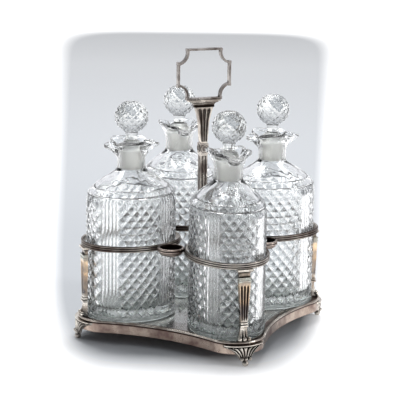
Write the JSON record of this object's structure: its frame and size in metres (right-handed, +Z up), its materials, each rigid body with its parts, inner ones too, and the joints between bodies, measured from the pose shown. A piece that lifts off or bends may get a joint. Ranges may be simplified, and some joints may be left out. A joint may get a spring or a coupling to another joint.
{
  "type": "tantalus decanter stand",
  "caption": "Silver-plated decanter stand with a central carrying handle and feet, holding oval cut-glass decanters with ball stoppers in a reeded gallery",
  "frame": {"origin": "on the table plane under the centre post, at the middle of the four feet", "axes": "+Z up along the post; the tray's straight sides face -Y, +X, +Y and -X, and the decanters stand on the diagonals between them; the picture's viewpoint is at -Y, turned about 26 degrees to +X"},
  "size_m": [0.2482, 0.2482, 0.3471],
  "materials": {
    "silver_plate": "worn silver plate on cast nickel silver, warm grey, brown-black in the recesses",
    "tray_plate": "worn silver plate on sheet, mottled dusty mauve brown",
    "fasteners": null,
    "cut_glass": "clear colourless cut glass, slightly grey green where it is thick"
  },
  "bodies": {
    "stand": {"base_tray": "tray_plate", "tray_rim": "silver_plate", "foot_front": "silver_plate", "foot_right": "silver_plate", "foot_rear": "silver_plate", "foot_left": "silver_plate", "pilaster_front": "silver_plate", "pilaster_right": "silver_plate", "pilaster_rear": "silver_plate", "pilaster_left": "silver_plate", "pilaster_nuts": "fasteners", "ring_front": "silver_plate", "ring_right": "silver_plate", "ring_rear": "silver_plate", "ring_left": "silver_plate", "rest_front_left": "silver_plate", "rest_front_right": "silver_plate", "rest_rear_right": "silver_plate", "rest_rear_left": "silver_plate", "post_plinth": "silver_plate", "centre_post": "silver_plate", "tie_rod": "fasteners", "rod_washer": "fasteners", "wing_nut": "fasteners", "knop": "silver_plate", "handle_head": "silver_plate", "handle_loop": "silver_plate"},
    "decanter_front_body": {"decanter_front": "cut_glass"},
    "stopper_front_body": {"stopper_front": "cut_glass"},
    "decanter_right_body": {"decanter_right": "cut_glass"},
    "stopper_right_body": {"stopper_right": "cut_glass"},
    "decanter_rear_body": {"decanter_rear": "cut_glass"},
    "stopper_rear_body": {"stopper_rear": "cut_glass"},
    "decanter_left_body": {"decanter_left": "cut_glass"},
    "stopper_left_body": {"stopper_left": "cut_glass"}
  },
  "joints": [
    {"name": "decanter_front_lift", "type": "slide", "parent": "stand", "child": "decanter_front_body", "axis": [0, 0, 1], "range_m": [0, 0.33]},
    {"name": "stopper_front_lift", "type": "slide", "parent": "decanter_front_body", "child": "stopper_front_body", "axis": [0, 0, 1], "range_m": [0, 0.045]},
    {"name": "decanter_right_lift", "type": "slide", "parent": "stand", "child": "decanter_right_body", "axis": [0, 0, 1], "range_m": [0, 0.33]},
    {"name": "stopper_right_lift", "type": "slide", "parent": "decanter_right_body", "child": "stopper_right_body", "axis": [0, 0, 1], "range_m": [0, 0.045]},
    {"name": "decanter_rear_lift", "type": "slide", "parent": "stand", "child": "decanter_rear_body", "axis": [0, 0, 1], "range_m": [0, 0.33]},
    {"name": "stopper_rear_lift", "type": "slide", "parent": "decanter_rear_body", "child": "stopper_rear_body", "axis": [0, 0, 1], "range_m": [0, 0.045]},
    {"name": "decanter_left_lift", "type": "slide", "parent": "stand", "child": "decanter_left_body", "axis": [0, 0, 1], "range_m": [0, 0.33]},
    {"name": "stopper_left_lift", "type": "slide", "parent": "decanter_left_body", "child": "stopper_left_body", "axis": [0, 0, 1], "range_m": [0, 0.045]}
  ]
}
